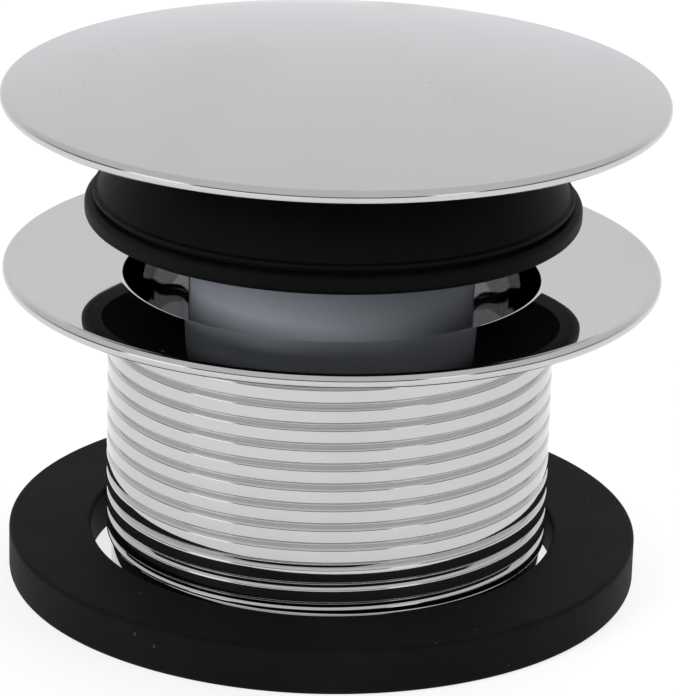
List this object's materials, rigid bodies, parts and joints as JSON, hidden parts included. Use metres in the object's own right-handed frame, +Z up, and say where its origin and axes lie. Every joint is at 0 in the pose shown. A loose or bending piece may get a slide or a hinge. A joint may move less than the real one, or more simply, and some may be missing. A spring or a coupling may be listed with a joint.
{
  "type": "tip-toe bath drain",
  "caption": "Round bath drain with a flanged, threaded body, a push-push latching stopper with a domed cap and rubber bell seal on a smooth grey sleeve, and a loose flat tub washer.",
  "frame": {"origin": "centre of the drain body's foot, on the surface that the foot and the loose washer stand on", "axes": "+Z up along the drain's axis, from the threaded foot to the cap; -Y towards the viewer; +X to the right of the front view"},
  "size_m": [0.0704, 0.0704, 0.0573],
  "materials": {
    "body_chrome": "polished",
    "washer_rubber": "matt",
    "turned_brass": "satin",
    "spring_steel": "plain",
    "white_plastic": "moulded",
    "grey_plastic": "moulded",
    "sleeve_plastic": "satin",
    "seal_rubber": "matt",
    "cap_chrome": "polished"
  },
  "bodies": {
    "drain": {"drain_body": "body_chrome", "post": "turned_brass", "lock_washer": "spring_steel", "index_crown": "white_plastic", "guide_barrel": "white_plastic", "post_clip": "spring_steel", "spring_seat": "spring_steel", "spring": "spring_steel"},
    "carrier": {"thrust_tube": "grey_plastic"},
    "stopper": {"sleeve": "sleeve_plastic", "guide_bush": "white_plastic", "snap_ring": "spring_steel", "stud_seal": "seal_rubber", "seal": "seal_rubber", "seal_plate": "turned_brass", "cap_stud": "turned_brass", "cap_hub": "turned_brass", "cap": "cap_chrome"},
    "latch_rotor": {"rotor": "grey_plastic"},
    "loose_washer": {"tub_washer": "washer_rubber"}
  },
  "joints": [
    {"name": "stopper_slide", "type": "slide", "parent": "drain", "child": "carrier", "axis": [0, 0, 1], "range_m": [-0.0054, 0], "stiffness_N_per_m": 800, "springref_m": 0.006, "deforming": ["spring"]},
    {"name": "stopper_turn", "type": "hinge", "parent": "carrier", "child": "stopper", "pos_m": [0, 0, 0], "axis": [0, 0, 1], "continuous": true},
    {"name": "rotor_turn", "type": "hinge", "parent": "carrier", "child": "latch_rotor", "pos_m": [0, 0, 0], "axis": [0, 0, 1], "continuous": true},
    {"name": "washer_slide", "type": "slide", "parent": "drain", "child": "loose_washer", "axis": [0, 0, 1], "range_m": [0, 0.0266]}
  ]
}
